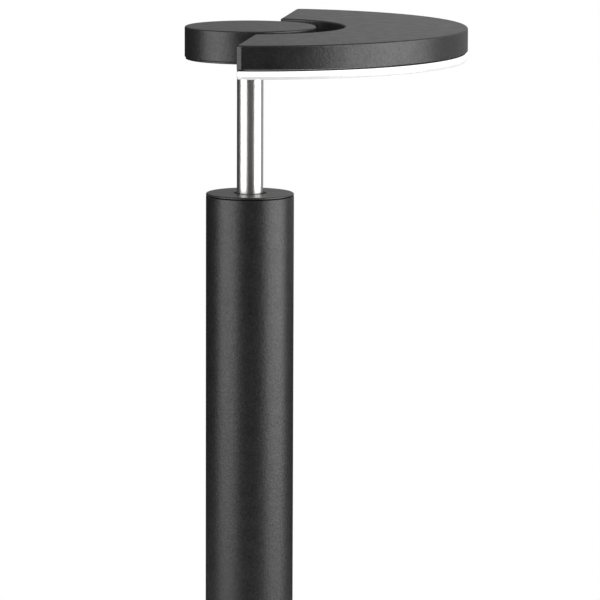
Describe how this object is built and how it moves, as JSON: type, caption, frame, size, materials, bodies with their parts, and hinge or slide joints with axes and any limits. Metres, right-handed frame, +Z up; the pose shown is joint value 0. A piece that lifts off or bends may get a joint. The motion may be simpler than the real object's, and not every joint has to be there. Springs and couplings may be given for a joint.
{
  "type": "bollard light",
  "caption": "Slim bollard light: round post on a base flange, bare steel stem, and a half-ring lamp head round a small hub that swivels on the stem",
  "frame": {"origin": "on the post's axis, at the underside of the base gasket, which is ground level", "axes": "+Z up along the post and stem, +X from the post's axis towards the middle of the half ring, +Y to the left of that"},
  "size_m": [0.2223, 0.293, 0.8],
  "materials": {
    "powder_coat": "fine textured satin powder coat, anthracite",
    "black_rubber": "matt moulded rubber",
    "screw_steel": "machined stainless fasteners",
    "stainless_steel": "polished stainless tube",
    "aluminium_sheet": "bare folded sheet",
    "opal_diffuser": "opal acrylic, lit from inside",
    "circuit_board": "white solder resist",
    "thermal_pad": "soft grey silicone",
    "driver_case": "white moulded case",
    "terminal_plastic": "grey nylon",
    "acetal": "natural acetal",
    "lead_jacket": "black PVC jacket"
  },
  "bodies": {
    "post": {"base_flange": "powder_coat", "post_tube": "powder_coat", "post_cap": "powder_coat", "base_gasket": "black_rubber", "cable_grommet_1": "black_rubber", "cable_grommet_2": "black_rubber", "cap_seal": "black_rubber", "stem_seal": "black_rubber", "base_set_screw_1": "screw_steel", "base_set_screw_2": "screw_steel", "base_set_screw_3": "screw_steel", "cap_set_screw_1": "screw_steel", "cap_set_screw_2": "screw_steel", "stem_washer": "screw_steel", "stem_lock_nut": "screw_steel", "bracket_screw_1": "screw_steel", "bracket_screw_2": "screw_steel", "driver_screw_1": "screw_steel", "driver_screw_2": "screw_steel", "terminal_screw": "screw_steel", "earth_screw": "screw_steel", "lower_retaining_ring": "screw_steel", "upper_retaining_ring": "screw_steel", "stop_washer": "screw_steel", "stem_tube": "stainless_steel", "driver_bracket": "aluminium_sheet", "led_driver": "driver_case", "terminal_block": "terminal_plastic", "mains_lead": "lead_jacket", "stem_lead": "lead_jacket"},
    "head": {"swivel_bush": "acetal", "hub_body": "powder_coat", "hub_bottom_plate": "powder_coat", "hub_gasket": "black_rubber", "hub_plate_screw_1": "screw_steel", "hub_plate_screw_2": "screw_steel", "hub_plate_screw_3": "screw_steel", "head_arm": "powder_coat", "arm_screw_1": "screw_steel", "arm_screw_2": "screw_steel", "arm_screw_3": "screw_steel", "bar_screw_1": "screw_steel", "bar_screw_2": "screw_steel", "head_housing": "powder_coat", "thermal_pad": "thermal_pad", "led_board": "circuit_board", "led_connector": "terminal_plastic", "diffuser": "opal_diffuser", "diffuser_gasket": "black_rubber", "diffuser_screw_1": "screw_steel", "diffuser_screw_2": "screw_steel", "diffuser_screw_3": "screw_steel", "diffuser_screw_4": "screw_steel", "diffuser_screw_5": "screw_steel", "diffuser_screw_6": "screw_steel", "head_lead": "lead_jacket"}
  },
  "joints": [
    {"name": "head_swivel", "type": "hinge", "parent": "post", "child": "head", "pos_m": [0, 0, 0.7818], "axis": [0, 0, 1], "range_deg": [-165, 165]}
  ]
}
